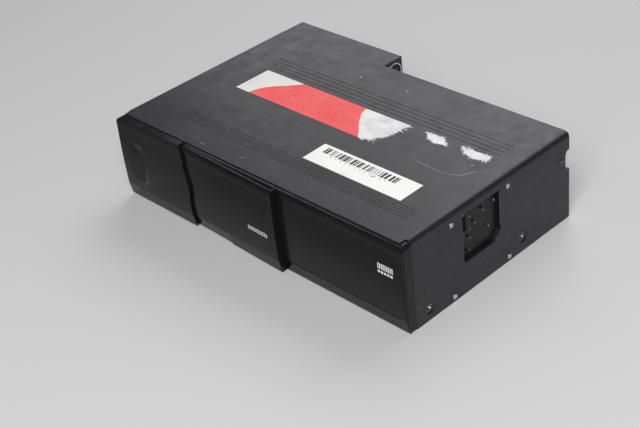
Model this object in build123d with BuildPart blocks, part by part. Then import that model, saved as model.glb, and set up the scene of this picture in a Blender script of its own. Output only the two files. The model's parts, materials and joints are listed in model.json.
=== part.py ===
"""Car CD changer with a two-leaf sliding door, disc magazine, lift and player.

Millimetres. +X is the right end seen from the front, +Y the back, +Z up. The origin lies on the
bottom, under the middle of the box. In the tuples below, x stations are measured from the left
end, y stations from the bezel's face plane and z stations from the bottom.
"""
import math
import os

from build123d import *

os.makedirs("parts", exist_ok=True)

# ---- Housing
case_height = 61.6
rear_box_width = 101.5
rear_box_depth = 17.6
sheet = 1.0
bend_radius = 3.6
bezel_depth = 5.4
cover_lap = 4.9
flange_height = 3.8
seam = 0.1

# ---- Bezel face: how far its curve stands in front of the face plane at each height
face_foot_z = 0.8
face_crease_z = 9.5
face_belly_z = 31.0
face_brow_drop = 7.6
face_top_gap = 1.1
foot_stand = 0.6
crease_stand = 2.1
belly_stand = 2.4
brow_stand = 1.8
top_set_back = 0.9
centre_leaf_top = -0.3
centre_leaf_drop = 1.7
left_leaf_top = -1.2
left_leaf_drop = 0.5
lip_thickness = 0.8
lip_end = -0.1
corner_radius = 2.0
bezel_corner = 3.4
leaf_corner = 4.5
rib_depth = 0.15

# ---- Door
leaf_gap = 0.35
left_leaf_thickness = 1.5
centre_leaf_thickness = 1.3
left_leaf_edge = 66.5
leaf_overlap = 4.5
centre_leaf_reach = 14.4
centre_leaf_slant = 2.8
guide_height = 0.7
guide_depth = 1.2
guide_end_gap = 5.4
scoop_left = 7.0
scoop_edge = ((22.9, 16.5), (24.4, 34.4), (25.3, 48.7))
scoop_depth = 1.05
doorway_left = 3.4
doorway_right_gap = 2.0
doorway_bottom_gap = 1.1
doorway_top_gap = 1.5
button_gap = 3.6
button_width = 6.6
button_clearance = 0.2
button_z = (25.2, 38.8)

# ---- Discs, trays and magazine; the rooms are what the case leaves round the stored and played disc
disc_radius = 60.0
left_room = 10.4
front_room = 16.0
rear_room = 12.8
play_room = 48.0
right_room = 16.6
disc_hole_radius = 7.5
disc_thickness = 1.2
first_disc_z = 17.0
tray_count = 6
tray_pitch = 6.0
tray_thickness = 2.6
tray_side_margin = 1.6
tray_end_margin = 5.2
tray_slot_half_width = 17.5
magazine_wall = 1.4
magazine_gap = 0.3
magazine_nose = 11.6

# ---- Inner frame and lift
frame_sheet = 1.0
frame_drop = 15.6
frame_gap = 2.2
cam_thickness = 1.0
cam_margin = 8.9
cam_length = 70.0
cam_reach = 33.4
rack_length = 60.0
cam_gap = 0.3
pin_radius = 1.2
slot_clearance = 0.07
lift_over = 2.6
lift_plate_z = 9.6
lift_plate_thickness = 1.2
post_radius = 1.5
post_clearance = 0.06
gear_module = 0.5
pinion_teeth = 24
wheel_teeth = 34
gear_offset = 17.0

# ---- Player
turntable_radius = 14.0
hub_radius = 7.3
motor_radius = 10.5
chassis_half = 39.6
chassis_reach = 23.6
chassis_gap = 0.4
first_track = 23.0
screw_pitch = 2.6
rod_radius = 1.0
running = 0.05

# ---- Openings and fasteners in the sides
window_front = 48.2
window_rear = 82.0
window_bottom = 21.4
window_drop = 6.6
window_chamfer = 6.0
window_corner = 2.0
selector_sheet = 0.6
selector_inset_right = 3.6
selector_left = 2.5
selector_gap = 0.15
selector_rim = 0.8
detent_inset = 3.4
detent_count = 5
detent_step = 21.5
detent_start = 93.0
pivot_inset = 4.3
pivot_rise = 5.6
mount_radius = 2.1
mount_length = 2.6
mount_places = ((17.3, 8.3), (102.4, 10.2))
nut_radius = 3.4
screw_head_radius = 1.9
notch_screw_radius = 2.1
dimple_radius = 4.6
notch_depth = 3.8
notch_slope = 2.6
notch_low_drop = 25.8
notch_high_drop = 12.2
screw_front_gap = 9.6
screw_rear_gap = 7.0
screw_low = 3.4
screw_drop = 7.9
socket_radius = 6.2
socket_drop = 9.2
notch_screw_drop = 18.0
rear_screw_inset = 16.5

# ---- Derived places
disc_x = left_room + disc_radius
disc_y = front_room + disc_radius
play_travel = disc_radius + play_room
play_x = disc_x + play_travel
case_width = play_x + disc_radius + right_room
case_depth = disc_y + disc_radius + rear_room
face_top_z = case_height - face_top_gap
front_reach = belly_stand + leaf_gap + centre_leaf_thickness + centre_leaf_slant
x_left = -case_width / 2
y_face = (front_reach - case_depth - rear_box_depth) / 2
full_depth = case_depth + rear_box_depth
inside_top = case_height - sheet
face_brow_z = case_height - face_brow_drop
centre_leaf_top_z = case_height - centre_leaf_drop
left_leaf_top_z = case_height - left_leaf_drop
centre_outer_stand = leaf_gap + centre_leaf_thickness
left_inner_stand = centre_outer_stand + leaf_gap + 0.2
left_outer_stand = left_inner_stand + left_leaf_thickness
tray_front = disc_y - disc_radius - tray_side_margin
tray_rear = disc_y + disc_radius + tray_side_margin
tray_left = disc_x - disc_radius - tray_end_margin + 0.6
tray_right = disc_x + disc_radius + tray_end_margin
magazine_left = tray_left - magazine_gap - magazine_wall
magazine_right = tray_right + 1.0
magazine_front = tray_front - magazine_gap - magazine_nose
magazine_rear = tray_rear + magazine_gap + magazine_wall
last_disc_z = first_disc_z + (tray_count - 1) * tray_pitch
tray_drop = tray_thickness - disc_thickness / 2 - 0.4
magazine_bottom = first_disc_z - tray_drop - magazine_gap - 2 * magazine_wall
magazine_top = last_disc_z + tray_thickness + magazine_gap + 2 * magazine_wall
doorway_right = magazine_right + doorway_right_gap
doorway_bottom = magazine_bottom - doorway_bottom_gap
doorway_top = magazine_top + doorway_top_gap
centre_leaf_left = left_leaf_edge - leaf_overlap
centre_leaf_right = doorway_right + centre_leaf_reach
leaf_slope = centre_leaf_slant / (centre_leaf_right - centre_leaf_left)
guide_end = case_width - guide_end_gap
button_left = doorway_right + button_gap
frame_height = case_height - frame_drop
frame_left = magazine_left - 0.2 - frame_sheet
frame_front = bezel_depth + frame_gap
frame_rear = case_depth - sheet - 3.2
frame_right = case_width - sheet - 2.8
base_z = sheet + frame_gap
base_top = base_z + frame_sheet
cam_front = frame_front + frame_sheet + cam_gap
cam_rear = frame_rear - frame_sheet - cam_gap - cam_thickness
lift_front = cam_front + cam_thickness + 0.2
lift_rear = cam_rear - cam_gap
lift_right = frame_right - frame_sheet - 0.4
lift_left = magazine_right + 6.4
pin_z = lift_plate_z + lift_plate_thickness / 2
lift_travel = (tray_count - 1) * tray_pitch + lift_over
cam_height = lift_travel + cam_margin
cam_left = play_x - cam_reach
pin_x = (cam_left + lift_travel + 3.4, cam_left + cam_length - 4.0)
plate_top = lift_plate_z + lift_plate_thickness
tray_bottom = first_disc_z - tray_drop
hub_top = tray_bottom - 0.4
table_top = hub_top - 1.6
gear_x = cam_left - gear_offset
gear_radius = gear_module * pinion_teeth / 2
gear_y = cam_front + cam_thickness + gear_module + gear_radius
wall_right = case_width - sheet
socket_y = case_depth + rear_box_depth / 2 + 0.4
socket_z = case_height - socket_drop
window_top = case_height - window_drop
pivot_y = window_rear - pivot_inset
pivot_z = window_bottom + pivot_rise
detent_radius = window_top - detent_inset - pivot_z
selector_right = case_width - selector_inset_right
screw_y = (window_front - screw_front_gap, window_rear + screw_rear_gap)
screw_z = (screw_low, case_height - screw_drop)


def block(x, y, z, mode=Mode.ADD):
    """Add a block that spans the given stations."""
    with BuildSketch(Plane.XY.offset(z[0])) as footprint:
        with Locations((x_left + (x[0] + x[1]) / 2, y_face + (y[0] + y[1]) / 2)):
            Rectangle(x[1] - x[0], y[1] - y[0])
    extrude(footprint.sketch, amount=z[1] - z[0], mode=mode)


def upright(x, y, radius, z, mode=Mode.ADD):
    """Add a round post along Z."""
    with BuildSketch(Plane.XY.offset(z[0])) as circle:
        with Locations((x_left + x, y_face + y)):
            Circle(radius)
    extrude(circle.sketch, amount=z[1] - z[0], mode=mode)


def across(y, z, radius, x, mode=Mode.ADD):
    """Add a round bar along X."""
    with BuildSketch(Plane.YZ.offset(x_left + x[0])) as circle:
        with Locations((y_face + y, z)):
            Circle(radius)
    extrude(circle.sketch, amount=x[1] - x[0], mode=mode)


def inward(x, z, radius, y, mode=Mode.ADD):
    """Add a round bar along Y."""
    with BuildSketch(Plane.XZ.offset(-(y_face + y[0]))) as circle:
        with Locations((x_left + x, z)):
            Circle(radius)
    extrude(circle.sketch, amount=-(y[1] - y[0]), mode=mode)


def save(piece, name):
    """Label a finished piece and write it."""
    piece.part.label = name
    export_step(piece.part, f"parts/{name}.step")


def shave(x, z, radius, side):
    """Round an upper corner as seen from the front; side is -1 at the left and 1 at the right."""
    with BuildSketch(Plane.XZ.offset(20 - y_face)) as waste:
        with Locations((x_left + x - side * radius, z - radius)):
            Rectangle(radius + 1, radius + 1, align=(Align.MIN if side > 0 else Align.MAX, Align.MIN))
            Circle(radius, mode=Mode.SUBTRACT)
    extrude(waste.sketch, amount=-30, mode=Mode.SUBTRACT)


def window_shape(x, grow):
    """Outline of a side window at station x, grown outward."""
    with BuildSketch(Plane.YZ.offset(x_left + x)) as shape:
        with BuildLine():
            Polyline(
                (y_face + window_front, window_bottom),
                (y_face + window_rear - window_chamfer, window_bottom),
                (y_face + window_rear, window_bottom + window_chamfer),
                (y_face + window_rear, window_top),
                (y_face + window_front, window_top),
                close=True,
            )
        make_face()
        fillet(shape.vertices(), window_corner)
        if grow:
            offset(amount=grow)
    return shape.sketch


def cut_notch(x):
    """Cut the slanted notch in the rear edge of the right side."""
    low, high = case_height - notch_low_drop, case_height - notch_high_drop
    rear, floor = y_face + case_depth + 1, y_face + case_depth - notch_depth
    with BuildSketch(Plane.YZ.offset(x_left + x[0])) as outline:
        with BuildLine():
            Polyline((rear, low), (floor + 0.6 * notch_slope, low), (floor, low + notch_slope),
                     (floor, high - notch_slope), (floor + 0.6 * notch_slope, high), (rear, high), close=True)
        make_face()
    extrude(outline.sketch, amount=x[1] - x[0], mode=Mode.SUBTRACT)


def face_points(stand, top_back, top_z):
    """Corner points of the bezel's face curve, moved forward by stand, as (y, z)."""
    return [
        (y_face - foot_stand - stand, face_foot_z),
        (y_face - crease_stand - stand, face_crease_z),
        (y_face - belly_stand - stand, face_belly_z),
        (y_face - brow_stand - stand, face_brow_z),
        (y_face + top_back - stand, top_z),
    ]


def shoulder(brow, top):
    """Point that rounds the face curve between its brow and its top."""
    return 0.49 * brow[0] + 0.51 * top[0] - 0.26 * (top[0] - brow[0]), (brow[1] + 2 * top[1]) / 3


def face_section(x, stand, back_stand=None, top_back=top_set_back, top_z=face_top_z, lip=False):
    """Closed section at station x, from the face curve back to a plane or a second curve."""
    foot, crease, belly, brow, top = face_points(stand, top_back, top_z)
    with BuildSketch(Plane.YZ.offset(x_left + x)) as section:
        with BuildLine():
            Line(foot, crease)
            ThreePointArc(crease, belly, brow)
            ThreePointArc(brow, shoulder(brow, top), top)
            if back_stand is None:
                rear = y_face + bezel_depth
                Polyline(top, (rear, top[1]), (rear, foot[1]), foot)
            else:
                foot_b, crease_b, belly_b, brow_b, top_b = face_points(back_stand, top_back, top_z)
                Line(top, top_b)
                ThreePointArc(top_b, shoulder(brow_b, top_b), brow_b)
                ThreePointArc(brow_b, belly_b, crease_b)
                Line(crease_b, foot_b)
                Line(foot_b, foot)
        make_face()
        if lip:
            with Locations((top[0] + 0.2, top[1])):
                Rectangle(y_face + lip_end - top[0] - 0.2, lip_thickness, align=(Align.MIN, Align.MAX))
    return section.sketch


def gear(x, y, teeth, z):
    """Add a straight-toothed gear with its axis along Z."""
    root = gear_module * (teeth / 2 - 1.15)
    tip = gear_module * (teeth / 2 + 0.85)
    upright(x, y, root, z)
    with BuildSketch(Plane.XY.offset(z[0])) as ring:
        with Locations((x_left + x, y_face + y)):
            with PolarLocations(0, teeth, start_angle=-90):
                with Locations(((root + tip) / 2 - 0.08, 0)):
                    Trapezoid(gear_module * 1.9, tip - root + 0.15, 74, rotation=-90)
    extrude(ring.sketch, amount=z[1] - z[0])


# ---- Housing shells
with BuildPart() as top_cover:
    with BuildSketch(Plane.XZ.offset(-(y_face + bezel_depth - cover_lap))) as outer_fold:
        with Locations((0, case_height / 2)):
            Rectangle(case_width, case_height)
        fillet(outer_fold.vertices().group_by(Axis.Y)[-1], bend_radius)
    extrude(amount=-(case_depth - bezel_depth + cover_lap))
    with BuildSketch(Plane.XZ.offset(-(y_face + bezel_depth - cover_lap))) as inner_fold:
        with Locations((0, inside_top / 2)):
            Rectangle(case_width - 2 * sheet, inside_top)
        fillet(inner_fold.vertices().group_by(Axis.Y)[-1], bend_radius - sheet)
    extrude(amount=-(case_depth - bezel_depth + cover_lap), mode=Mode.SUBTRACT)
    lap = (bezel_depth - cover_lap, bezel_depth)
    block((0, bend_radius), lap, (0, case_height), Mode.SUBTRACT)
    block((case_width - bend_radius, case_width), lap, (0, case_height), Mode.SUBTRACT)
    for first, count, step in ((19.7, 5, 2.3), (case_depth - 45.8, 4, 4.0)):
        for line in range(count):
            station = first + line * step
            block((34.0, case_width - 16.0), (station - 0.5, station + 0.5),
                  (case_height - rib_depth, case_height), Mode.SUBTRACT)
    extrude(window_shape(0, 0), amount=case_width, mode=Mode.SUBTRACT)
    with BuildSketch(Plane.YZ.offset(x_left)) as side_holes:
        for y, z in mount_places:
            with Locations((y_face + y, z)):
                Circle(mount_radius + 0.9)
        for y in screw_y:
            for z in screw_z:
                with Locations((y_face + y, z)):
                    Circle(screw_head_radius / 2 + 0.15)
    extrude(amount=case_width, mode=Mode.SUBTRACT)
    for y, z in mount_places:
        for x, turn in ((wall_right, 90), (sheet, -90)):
            with Locations((x_left + x, y_face + y, z)):
                Cone(mount_radius + 0.9, dimple_radius, sheet, rotation=(0, turn, 0),
                     align=(Align.CENTER, Align.CENTER, Align.MIN), mode=Mode.SUBTRACT)
    cut_notch((wall_right - sheet, case_width))
save(top_cover, "top_cover")

with BuildPart() as rear_box:
    top = case_height - 0.2
    block((0, rear_box_width), (case_depth + seam, full_depth), (0, top))
    fillet(rear_box.edges().filter_by(Axis.Y).group_by(Axis.Z)[-1].sort_by(Axis.X)[0], bend_radius)
    fillet(rear_box.edges().filter_by(Axis.Y).group_by(Axis.Z)[-1].sort_by(Axis.X)[-1], 0.5)
    block((sheet, rear_box_width - sheet), (case_depth, full_depth - sheet), (0, top - sheet),
          Mode.SUBTRACT)
    across(socket_y, socket_z, socket_radius + 0.9,
           (rear_box_width - 2 * sheet, rear_box_width), Mode.SUBTRACT)
save(rear_box, "rear_box")

with BuildPart() as rear_panel:
    panel_y = (case_depth - sheet - seam, case_depth - seam)
    block((rear_box_width, wall_right - seam), panel_y, (sheet + seam, inside_top - seam))
    block((rear_box_width, wall_right - seam), (panel_y[0] - 4.0, panel_y[0]),
          (sheet + seam, 2 * sheet + seam))
    block((wall_right - seam - sheet, wall_right - seam), (panel_y[0] - 8.0, panel_y[0]),
          (30.0, inside_top - bend_radius))
    corner = rear_panel.edges().filter_by(Axis.Y).group_by(Axis.Z)[-1].sort_by(Axis.X)[-1]
    fillet(corner, bend_radius)
    cut_notch((wall_right - 7.0, case_width))
save(rear_panel, "rear_panel")

with BuildPart() as bottom_cover:
    inner = (sheet + seam, wall_right - seam)
    block(inner, (bezel_depth, case_depth - seam), (0, sheet))
    block((inner[0], rear_box_width - sheet - seam), (case_depth - 1, full_depth - sheet - seam),
          (0, sheet))
    for side in (inner[0], inner[1] - sheet):
        block((side, side + sheet), (bezel_depth, case_depth - 14.0), (0, sheet + flange_height))
        for y in screw_y:
            across(y, screw_z[0], screw_head_radius / 2 + 0.15, (side, side + sheet), Mode.SUBTRACT)
    for x in (case_width / 2 - 65.5, case_width / 2, case_width / 2 + 65.5):
        block((x - 1.5, x + 1.5), (24.0, case_depth - 22.8), (0, 0.3), Mode.SUBTRACT)
save(bottom_cover, "bottom_cover")

with BuildPart() as front_bezel:
    extrude(face_section(0, 0), amount=case_width)
    with BuildSketch(Plane.XY) as corner:
        with Locations((x_left + case_width - corner_radius, y_face - belly_stand + corner_radius)):
            Rectangle(corner_radius + 1, corner_radius + 1, align=(Align.MIN, Align.MAX))
            Circle(corner_radius, mode=Mode.SUBTRACT)
    extrude(amount=case_height, mode=Mode.SUBTRACT)
    extrude(face_section(0, centre_outer_stand + 0.2, -1, top_z=centre_leaf_top_z), amount=doorway_left)
    shave(0, face_top_z, bezel_corner, -1)
    shave(case_width, face_top_z, bezel_corner, 1)
    block((doorway_left, doorway_right), (-10, bezel_depth), (doorway_bottom, doorway_top),
          Mode.SUBTRACT)
    block((doorway_right + 12.0, case_width - 2.4), (1.2, bezel_depth), (4.0, case_height - 5.6),
          Mode.SUBTRACT)
    with BuildSketch(Plane.YZ.offset(x_left + centre_leaf_left - 1)) as guide:
        with Locations((y_face - crease_stand + guide_depth / 2 - 0.3, face_crease_z)):
            Rectangle(guide_depth + 1.6, guide_height)
    extrude(amount=guide_end - centre_leaf_left + 1, mode=Mode.SUBTRACT)
    block((button_left - button_clearance, button_left + button_width + button_clearance),
          (-10, bezel_depth), (button_z[0] - button_clearance, button_z[1] + button_clearance),
          Mode.SUBTRACT)
save(front_bezel, "front_bezel")

with BuildPart() as side_screws:
    for y in screw_y:
        for z in screw_z:
            across(y, z, screw_head_radius, (case_width, case_width + 0.9))
            across(y, z, screw_head_radius / 2, (wall_right - 1.0, case_width))
            across(y, z, screw_head_radius, (-0.9, 0))
            across(y, z, screw_head_radius / 2, (0, sheet + 1.0))
save(side_screws, "side_screws")

with BuildPart() as rear_screws:
    outer_x = (rear_box_width + rear_screw_inset, case_width - 19.0)
    for x, z in ((outer_x[0], 8.0), (outer_x[1], 8.0), (sum(outer_x) / 2, case_height - 7.6)):
        inward(x, z, screw_head_radius, (case_depth - seam, case_depth + 0.8))
    across(case_depth - 7.6, case_height - notch_screw_drop, notch_screw_radius, (case_width, case_width + 0.8))
save(rear_screws, "rear_screws")

with BuildPart() as mount_nuts:
    for span in ((sheet, sheet + mount_length), (wall_right - mount_length, wall_right)):
        for y, z in mount_places:
            across(y, z, nut_radius, span)
            across(y, z, mount_radius, span, Mode.SUBTRACT)
save(mount_nuts, "mount_nuts")


def detent(index):
    """Station of a detent of the position selector."""
    angle = math.radians(detent_start + index * detent_step)
    return pivot_y + detent_radius * math.cos(angle), pivot_z + detent_radius * math.sin(angle)


lever_step = selector_sheet + selector_gap
for side, plate_left, lever_left, rim_x in (
    ("right", selector_right, selector_right - lever_step, (selector_right, wall_right - seam)),
    ("left", selector_left, selector_left + lever_step, (sheet + seam, selector_left)),
):
    plate_x = (plate_left, plate_left + selector_sheet)
    plate_y = (window_front - 3.0, window_rear + 3.0)
    plate_z = (window_bottom - 3.0, window_top + 2.6)
    with BuildPart() as selector_plate:
        block(plate_x, plate_y, plate_z)
        rim = window_shape(rim_x[0], seam + selector_rim) - window_shape(rim_x[0], seam)
        extrude(rim, amount=rim_x[1] - rim_x[0])
        for index in range(detent_count):
            across(*detent(index), 1.1, plate_x, Mode.SUBTRACT)
        across(pivot_y - 7.0, pivot_z + 8.9, 0.8, plate_x, Mode.SUBTRACT)
        block(plate_x, (window_front + 1.0, window_front + 3.4), (window_bottom + 13.0, window_top - 2.6),
              Mode.SUBTRACT)
    save(selector_plate, f"selector_plate_{side}")
    with BuildPart() as selector_lever:
        arm = math.radians(detent_start)
        with BuildSketch(Plane.YZ.offset(x_left + lever_left)) as lever_outline:
            with Locations((y_face + pivot_y + detent_radius / 2 * math.cos(arm),
                            pivot_z + detent_radius / 2 * math.sin(arm))):
                SlotCenterToCenter(detent_radius, 5.0, rotation=detent_start)
        extrude(lever_outline.sketch, amount=selector_sheet)
    save(selector_lever, f"selector_lever_{side}")

with BuildPart() as din_shell:
    across(socket_y, socket_z, socket_radius + 0.8, (rear_box_width - 8.0, rear_box_width + 0.6))
    across(socket_y, socket_z, socket_radius, (rear_box_width - 7.0, rear_box_width + 0.6),
           Mode.SUBTRACT)
save(din_shell, "din_shell")

with BuildPart() as din_insert:
    insert_x = (rear_box_width - 7.0, rear_box_width - 0.2)
    across(socket_y, socket_z, socket_radius - 1.1, insert_x)
    with BuildSketch(Plane.YZ.offset(x_left + insert_x[1])) as contacts:
        with Locations((y_face + socket_y, socket_z)):
            with PolarLocations(3.5, 7, start_angle=-60, angular_range=270):
                Circle(0.65)
            Circle(0.65)
    extrude(contacts.sketch, amount=-3.0, mode=Mode.SUBTRACT)
save(din_insert, "din_insert")

# ---- Door leaves
with BuildPart() as edge_cutter:
    with BuildSketch(Plane.XZ.offset(-y_face + 20)) as beyond_edge:
        with BuildLine():
            s_edge = Spline(
                (x_left + left_leaf_edge + 3.1, -1),
                (x_left + left_leaf_edge + 3.0, 8),
                (x_left + left_leaf_edge + 2.6, 17),
                (x_left + left_leaf_edge + 4.2, 31),
                (x_left + left_leaf_edge + 1.7, 44),
                (x_left + left_leaf_edge + 0.9, 54),
                (x_left + left_leaf_edge - 2.0, case_height + 1),
            )
            Polyline(s_edge @ 1, (x_left + left_leaf_edge + 20, case_height + 1),
                     (x_left + left_leaf_edge + 20, -1), s_edge @ 0)
        make_face()
    extrude(beyond_edge.sketch, amount=-40)

with BuildPart() as scoop_cutter:
    leaf_face = y_face - belly_stand - left_outer_stand
    scoop_low, scoop_middle, scoop_high = [(x_left + x, z) for x, z in scoop_edge]
    with BuildSketch(Plane.XY.offset(scoop_low[1])) as scoop_plan:
        with BuildLine():
            Polyline((x_left + scoop_left, leaf_face), (scoop_high[0], leaf_face + scoop_depth),
                     (scoop_high[0], leaf_face - 2), (x_left + scoop_left, leaf_face - 2), close=True)
        make_face()
    extrude(scoop_plan.sketch, amount=scoop_high[1] - scoop_low[1])
    with BuildSketch(Plane.XZ.offset(20 - y_face)) as scoop_front:
        with BuildLine():
            ThreePointArc(scoop_low, scoop_middle, scoop_high)
            Polyline(scoop_high, (x_left, scoop_high[1]), (x_left, scoop_low[1]), scoop_low)
        make_face()
    extrude(scoop_front.sketch, amount=-30, mode=Mode.INTERSECT)
    with BuildSketch(Plane.YZ.offset(x_left)) as scoop_side:
        with BuildLine():
            ThreePointArc((leaf_face, scoop_low[1]), (leaf_face + scoop_depth, scoop_middle[1]),
                          (leaf_face, scoop_high[1]))
            Polyline((leaf_face, scoop_high[1]), (leaf_face - 2, scoop_high[1]),
                     (leaf_face - 2, scoop_low[1]), (leaf_face, scoop_low[1]))
        make_face()
    extrude(scoop_side.sketch, amount=scoop_high[0] - x_left, mode=Mode.INTERSECT)

with BuildPart() as left_leaf:
    leaf_section = face_section(0.2, left_outer_stand, left_inner_stand, left_leaf_top,
                                left_leaf_top_z, lip=True)
    extrude(leaf_section, amount=left_leaf_edge + 6)
    add(edge_cutter.part, mode=Mode.SUBTRACT)
    add(scoop_cutter.part, mode=Mode.SUBTRACT)
    shave(0.2, left_leaf_top_z, leaf_corner, -1)
save(left_leaf, "left_leaf")

slant = (1, -leaf_slope, 0)
slant_length = (centre_leaf_right - centre_leaf_left) * math.hypot(1, leaf_slope)
with BuildPart() as chin_cutter:
    chin_z = 8.0
    chin_top_y = y_face - crease_stand - centre_outer_stand + 0.3
    with BuildSketch(Plane.YZ.offset(x_left + centre_leaf_left - 1)) as chin:
        with BuildLine():
            Polyline((chin_top_y, chin_z), (chin_top_y - 8, chin_z), (chin_top_y - 8, 0),
                     (y_face - foot_stand - centre_outer_stand + 0.9, 0), close=True)
        make_face()
    extrude(chin.sketch, amount=44.0, dir=slant)

with BuildPart() as centre_leaf:
    leaf_section = face_section(centre_leaf_left, centre_outer_stand, leaf_gap, centre_leaf_top,
                                centre_leaf_top_z)
    extrude(leaf_section, amount=slant_length, dir=slant)
    return_wall = face_section(centre_leaf_right - 1.5, centre_outer_stand + centre_leaf_slant - 0.4,
                               leaf_gap, centre_leaf_top, centre_leaf_top_z)
    extrude(return_wall, amount=1.5)
    add(chin_cutter.part, mode=Mode.SUBTRACT)
    tab_z = (face_crease_z - guide_height / 2 + 0.15, face_crease_z + guide_height / 2 - 0.15)
    for x, tab_front in ((centre_leaf_left + 0.4, -2.8), (centre_leaf_right - 7.4, -5.3)):
        block((x, x + 2.2), (tab_front, -crease_stand + 1.2), tab_z)
save(centre_leaf, "centre_leaf")

with BuildPart() as eject_button:
    block((button_left, button_left + button_width), (-1.8, 4.4), button_z)
    fillet(eject_button.edges().filter_by(Axis.Y), 1.0)
    block((button_left + 1.8, button_left + 4.8), (4.4, 5.8), (30.0, 34.0))
save(eject_button, "eject_button")

# ---- Magazine
with BuildPart() as magazine_case:
    block((magazine_left, magazine_right), (magazine_front, magazine_rear),
          (magazine_bottom, magazine_top))
    fillet(magazine_case.edges().filter_by(Axis.X).group_by(Axis.Y)[0], 1.5)
    bay_y = (tray_front - magazine_gap, tray_rear + magazine_gap)
    block((magazine_left + magazine_wall, magazine_right), bay_y,
          (magazine_bottom + magazine_wall, magazine_top - magazine_wall), Mode.SUBTRACT)
    nose_y = (magazine_front + 2.0, bay_y[0] - magazine_wall)
    block((magazine_left + 2.0, magazine_right - 2.0), nose_y,
          (magazine_bottom + 2.0, magazine_top - 2.0), Mode.SUBTRACT)
    rib_half = (tray_pitch - tray_thickness) / 2 - magazine_gap
    for index in range(tray_count + 1):
        rib_z = first_disc_z + index * tray_pitch - tray_drop - magazine_gap - rib_half
        for rib_y in ((bay_y[0], bay_y[0] + 1.5), (bay_y[1] - 1.5, bay_y[1])):
            block((magazine_left + magazine_wall, magazine_right - 1.0), rib_y,
                  (max(rib_z - rib_half, magazine_bottom), min(rib_z + rib_half, magazine_top)))
save(magazine_case, "magazine_case")

for index in range(tray_count):
    disc_z = first_disc_z + index * tray_pitch
    floor_z = disc_z - tray_drop
    with BuildPart() as tray:
        block((tray_left, tray_right), (tray_front, tray_rear), (floor_z, floor_z + tray_thickness))
        fillet(tray.edges().filter_by(Axis.Z).group_by(Axis.X)[0], 3.0)
        pocket_z = (disc_z - disc_thickness / 2 - 0.05, floor_z + tray_thickness)
        upright(disc_x, disc_y, disc_radius + 0.5, pocket_z, Mode.SUBTRACT)
        through = (floor_z, floor_z + tray_thickness)
        upright(disc_x, disc_y, tray_slot_half_width, through, Mode.SUBTRACT)
        block((disc_x, tray_right), (disc_y - tray_slot_half_width, disc_y + tray_slot_half_width),
              through, Mode.SUBTRACT)
    save(tray, f"tray_{index + 1}")
    with BuildPart() as disc:
        bottom = disc_z - disc_thickness / 2
        upright(disc_x, disc_y, disc_radius, (bottom, bottom + disc_thickness))
        upright(disc_x, disc_y, disc_hole_radius, (bottom, bottom + disc_thickness), Mode.SUBTRACT)
    save(disc, f"disc_{index + 1}")

# ---- Inner frame
post_places = ((lift_right - 1.4, lift_front + 11.9), (lift_right - 1.4, lift_rear - 12.0),
               (lift_left + 2.6, tray_front - 1.8))
with BuildPart() as inner_frame:
    block((frame_left, frame_right), (frame_front, frame_rear), (base_z, base_top))
    walls = (base_top, base_top + frame_height)
    for x in (frame_left, frame_right - frame_sheet):
        side_x = (x, x + frame_sheet)
        block(side_x, (frame_front + 6, frame_rear), walls)
        block(side_x, (window_front - 4.0, window_rear + 4.0), (window_bottom - 4.0, walls[1]),
              Mode.SUBTRACT)
        for y, z in mount_places:
            block(side_x, (y - nut_radius - 1, y + nut_radius + 1), (base_top, z + nut_radius + 1),
                  Mode.SUBTRACT)
    block((frame_left, frame_right), (frame_rear - frame_sheet, frame_rear), walls)
    block((magazine_right + 1.0, frame_right), (frame_front, frame_front + frame_sheet), walls)
    for rail_x in (magazine_left + 5.9, magazine_right - 30.6):
        block((rail_x, rail_x + 4.0), (40.0, magazine_rear - 8.0), (base_top, magazine_bottom - 0.3))
    for x, y in post_places:
        upright(x, y, post_radius, (base_z, base_top), Mode.SUBTRACT)
save(inner_frame, "inner_frame")

with BuildPart() as guide_posts:
    for x, y in post_places:
        upright(x, y, post_radius, (base_z, base_top + frame_height + 4.0))
save(guide_posts, "guide_posts")

damper_places = [(x, y) for x in (frame_left + 15.1, frame_right - 13.2)
                 for y in (frame_front + 12.4, frame_rear - 12.6)]
with BuildPart() as dampers:
    for x, y in damper_places:
        upright(x, y, 4.2, (sheet, base_z))
save(dampers, "dampers")

wire_radius = 0.25
spring_rise = base_z - sheet - 2 * wire_radius - 0.1
with BuildPart() as suspension_springs:
    for x, y in damper_places:
        spring_base = Plane((x_left + x + 9.0, y_face + y, sheet + wire_radius + 0.05))
        coil = Helix(pitch=spring_rise / 2, height=spring_rise, radius=3.0, center=spring_base.origin)
        with BuildSketch(Plane(origin=coil @ 0, z_dir=coil % 0)) as wire:
            Circle(wire_radius)
        sweep(wire.sketch, path=coil, is_frenet=True)
save(suspension_springs, "suspension_springs")

with BuildPart() as eject_lever:
    lever_x = disc_x + 4.6
    lever_half = 15.0
    lever_y = magazine_rear + 1.4
    lever_z = (base_top + 0.8, base_top + 2.4)
    with BuildSketch(Plane.XY.offset(lever_z[0])) as lever_shape:
        with Locations((x_left + lever_x, y_face + lever_y)):
            SlotCenterToCenter(2 * lever_half, 3.4)
    extrude(lever_shape.sketch, amount=lever_z[1] - lever_z[0])
    upright(lever_x + lever_half, lever_y, 1.0, (lever_z[1], magazine_bottom + 8.0))
    upright(lever_x - lever_half, lever_y, 1.0, (base_top, lever_z[0]))
save(eject_lever, "eject_lever")

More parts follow.
